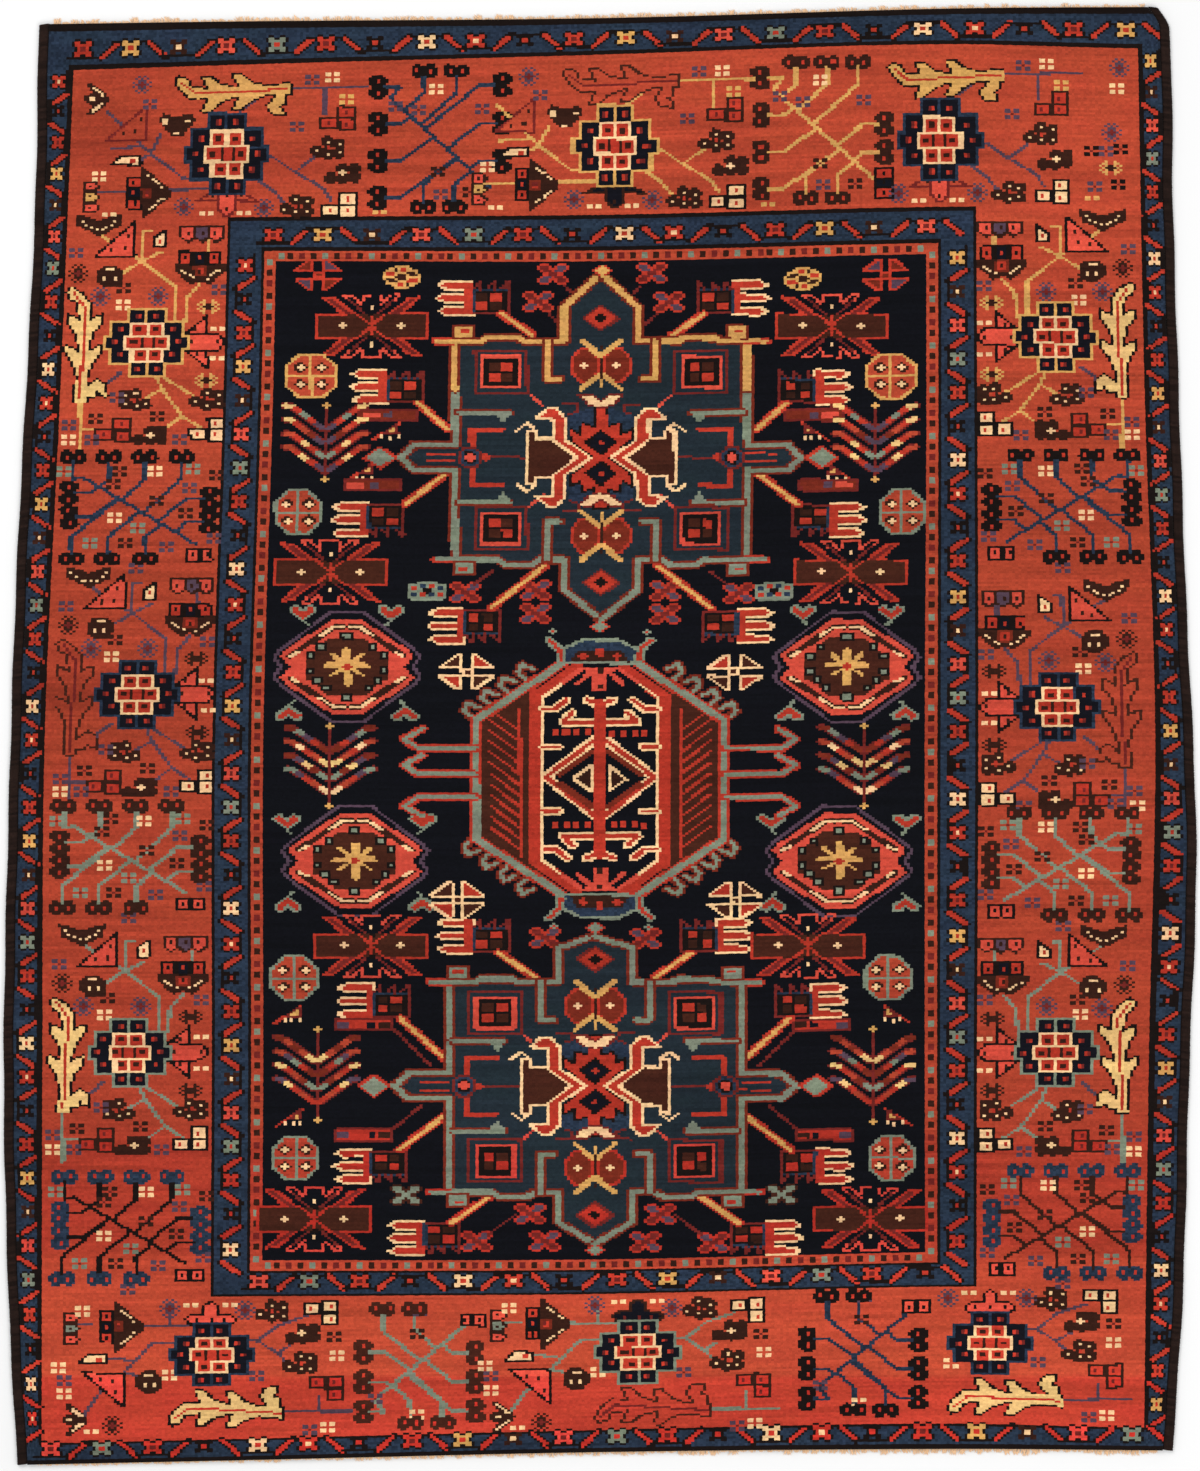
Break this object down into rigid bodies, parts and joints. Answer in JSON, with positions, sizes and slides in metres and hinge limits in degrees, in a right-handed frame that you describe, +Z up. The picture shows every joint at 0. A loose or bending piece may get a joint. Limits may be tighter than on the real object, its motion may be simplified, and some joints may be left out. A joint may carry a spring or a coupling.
{
  "type": "hand-knotted rug",
  "caption": "Flat hand-knotted wool rug with medallions on a midnight field, a wide flowered border between blue guard stripes, overcast sides and short frayed warp ends.",
  "frame": {"origin": "under the middle of the rug's outline, on the surface it lies on", "axes": "+Y along the warps towards the top end, +Z up out of the pile"},
  "size_m": [1.4937, 1.834, 0.009],
  "materials": {
    "pile_wool": "clipped wool pile, matt with a soft sheen",
    "selvedge_wool": "dark overcast wool, matt",
    "warp_wool": "undyed wool warp ends, matt"
  },
  "bodies": {
    "root": {"rug": "pile_wool", "selvedge_left": "selvedge_wool", "selvedge_right": "selvedge_wool", "fringe_top": "warp_wool", "fringe_bottom": "warp_wool"}
  },
  "joints": []
}
